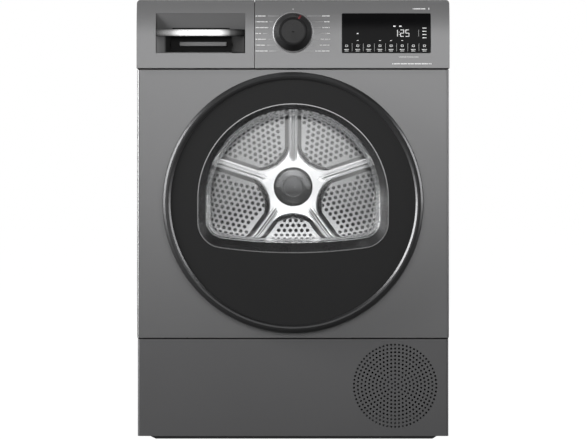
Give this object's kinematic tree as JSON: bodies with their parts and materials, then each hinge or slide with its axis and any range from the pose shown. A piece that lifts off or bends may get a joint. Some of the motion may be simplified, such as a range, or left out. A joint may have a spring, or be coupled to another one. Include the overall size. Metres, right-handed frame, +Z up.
{
  "type": "clothes dryer",
  "caption": "Free-standing front-loading heat-pump clothes dryer with a round door, a D-shaped bowl window, a control panel, a condensate drawer and a grille.",
  "frame": {"origin": "middle of the overall footprint, on the floor under the feet", "axes": "+Z up, the front with the door faces -Y, +X to the user's right"},
  "size_m": [0.598, 0.651, 0.842],
  "materials": {
    "casing_grey": "satin metallic powder coat",
    "worktop_grey": "satin moulding",
    "worktop_board": "laminate",
    "fascia_grey": "satin metallic lacquer",
    "display_glass": "tinted gloss",
    "chrome_trim": "polished",
    "knob_dark": "satin",
    "cup_grey": "satin",
    "black_plastic": "moulded",
    "grey_plastic": "moulded",
    "white_plastic": "moulded",
    "clear_plastic": "clear",
    "galvanised": "galvanised",
    "steel": "zinc plated",
    "drum_steel": "polished stainless",
    "hub_steel": "mirror",
    "door_ring_grey": "metallic lacquer",
    "door_dark": "gloss",
    "rubber": "matt",
    "felt": "felt",
    "aluminium_fins": "bare",
    "compressor_black": "gloss",
    "circuit_green": "board"
  },
  "bodies": {
    "root": {"air_channel": "grey_plastic", "base_strip": "black_plastic", "base_tray": "grey_plastic", "blower_housing": "grey_plastic", "compressor": "compressor_black", "condensate_pump": "black_plastic", "control_electronics": "circuit_green", "control_fascia": "fascia_grey", "display_window": "display_glass", "drawer_housing": "grey_plastic", "drive_belt": "rubber", "fan_shroud": "black_plastic", "front_panel": "casing_grey", "heat_exchangers": "aluminium_fins", "hinge_bracket": "steel", "knob_ring": "chrome_trim", "latch_catch": "black_plastic", "left_side_panel": "casing_grey", "motor_housing": "galvanised", "motor_mounts": "steel", "plinth_panel": "casing_grey", "rear_duct": "galvanised", "rear_fittings": "black_plastic", "rear_panel": "galvanised", "rear_screws": "steel", "right_side_panel": "casing_grey", "seals": "felt", "throat": "grey_plastic", "throat_fittings": "steel", "worktop_board": "worktop_board", "worktop_frame": "worktop_grey"},
    "door": {"door_ring": "door_ring_grey", "door_panel": "door_dark", "window_bezel": "door_dark", "window_bowl": "clear_plastic", "door_frame": "grey_plastic", "door_fittings": "steel", "door_grip": "black_plastic"},
    "drum": {"drum_shell": "drum_steel", "drum_back": "drum_steel", "drum_hub_cover": "hub_steel", "drum_shaft": "steel", "drum_lifters": "grey_plastic"},
    "roller_left": {"left_roller": "rubber"},
    "roller_right": {"right_roller": "rubber"},
    "motor": {"motor_rotor": "steel", "blower_wheel": "grey_plastic"},
    "tensioner": {"tensioner_arm": "steel"},
    "idler": {"idler_pulley": "black_plastic"},
    "fan": {"cooling_fan": "grey_plastic"},
    "knob": {"programme_knob": "knob_dark"},
    "drawer": {"drawer_front": "fascia_grey", "handle_cup": "cup_grey", "handle_strip": "chrome_trim", "condensate_tank": "white_plastic"},
    "filter": {"lint_filter": "grey_plastic"},
    "foot_fl": {"foot_front_left": "rubber"},
    "foot_fr": {"foot_front_right": "rubber"},
    "foot_rl": {"foot_rear_left": "rubber"},
    "foot_rr": {"foot_rear_right": "rubber"}
  },
  "joints": [
    {"name": "door_hinge", "type": "hinge", "parent": "root", "child": "door", "pos_m": [0.237, -0.3095, 0.4532], "axis": [0, 0, 1], "range_deg": [0, 110]},
    {"name": "drum_spin", "type": "hinge", "parent": "root", "child": "drum", "pos_m": [0, 0, 0.495], "axis": [0, 1, 0], "continuous": true},
    {"name": "roller_left_spin", "type": "hinge", "parent": "root", "child": "roller_left", "pos_m": [-0.19843, -0.1695, 0.24102], "axis": [0, 1, 0], "continuous": true},
    {"name": "roller_right_spin", "type": "hinge", "parent": "root", "child": "roller_right", "pos_m": [0.19843, -0.1695, 0.24102], "axis": [0, 1, 0], "continuous": true},
    {"name": "motor_spin", "type": "hinge", "parent": "root", "child": "motor", "pos_m": [-0.205, 0.17, 0.12], "axis": [0, 1, 0], "continuous": true},
    {"name": "tensioner_swing", "type": "hinge", "parent": "root", "child": "tensioner", "pos_m": [-0.15, 0.1, 0.06], "axis": [0, 1, 0], "range_deg": [0, 12], "stiffness_Nm_per_rad": 2, "springref_deg": -22.92},
    {"name": "idler_spin", "type": "hinge", "parent": "tensioner", "child": "idler", "pos_m": [-0.13817, 0.09, 0.11373], "axis": [0, 1, 0], "continuous": true},
    {"name": "fan_spin", "type": "hinge", "parent": "root", "child": "fan", "pos_m": [0.1954, -0.25, 0.1026], "axis": [0, 1, 0], "continuous": true},
    {"name": "knob_turn", "type": "hinge", "parent": "root", "child": "knob", "pos_m": [0, -0.3, 0.7782], "axis": [0, 1, 0], "continuous": true},
    {"name": "drawer_slide", "type": "slide", "parent": "root", "child": "drawer", "axis": [0, -1, 0], "range_m": [0, 0.42]},
    {"name": "filter_lift", "type": "slide", "parent": "root", "child": "filter", "axis": [0, 0, 1], "range_m": [0, 0.165]},
    {"name": "foot_fl_screw", "type": "slide", "parent": "root", "child": "foot_fl", "axis": [0, 0, -1], "range_m": [0, 0.015]},
    {"name": "foot_fr_screw", "type": "slide", "parent": "root", "child": "foot_fr", "axis": [0, 0, -1], "range_m": [0, 0.015]},
    {"name": "foot_rl_screw", "type": "slide", "parent": "root", "child": "foot_rl", "axis": [0, 0, -1], "range_m": [0, 0.015]},
    {"name": "foot_rr_screw", "type": "slide", "parent": "root", "child": "foot_rr", "axis": [0, 0, -1], "range_m": [0, 0.015]}
  ],
  "couplings": [
    {"joint": "motor_spin", "follows": "drum_spin", "ratio": 23.917},
    {"joint": "idler_spin", "follows": "drum_spin", "ratio": -19.133},
    {"joint": "roller_left_spin", "follows": "drum_spin", "ratio": -8.2},
    {"joint": "roller_right_spin", "follows": "drum_spin", "ratio": -8.2}
  ]
}
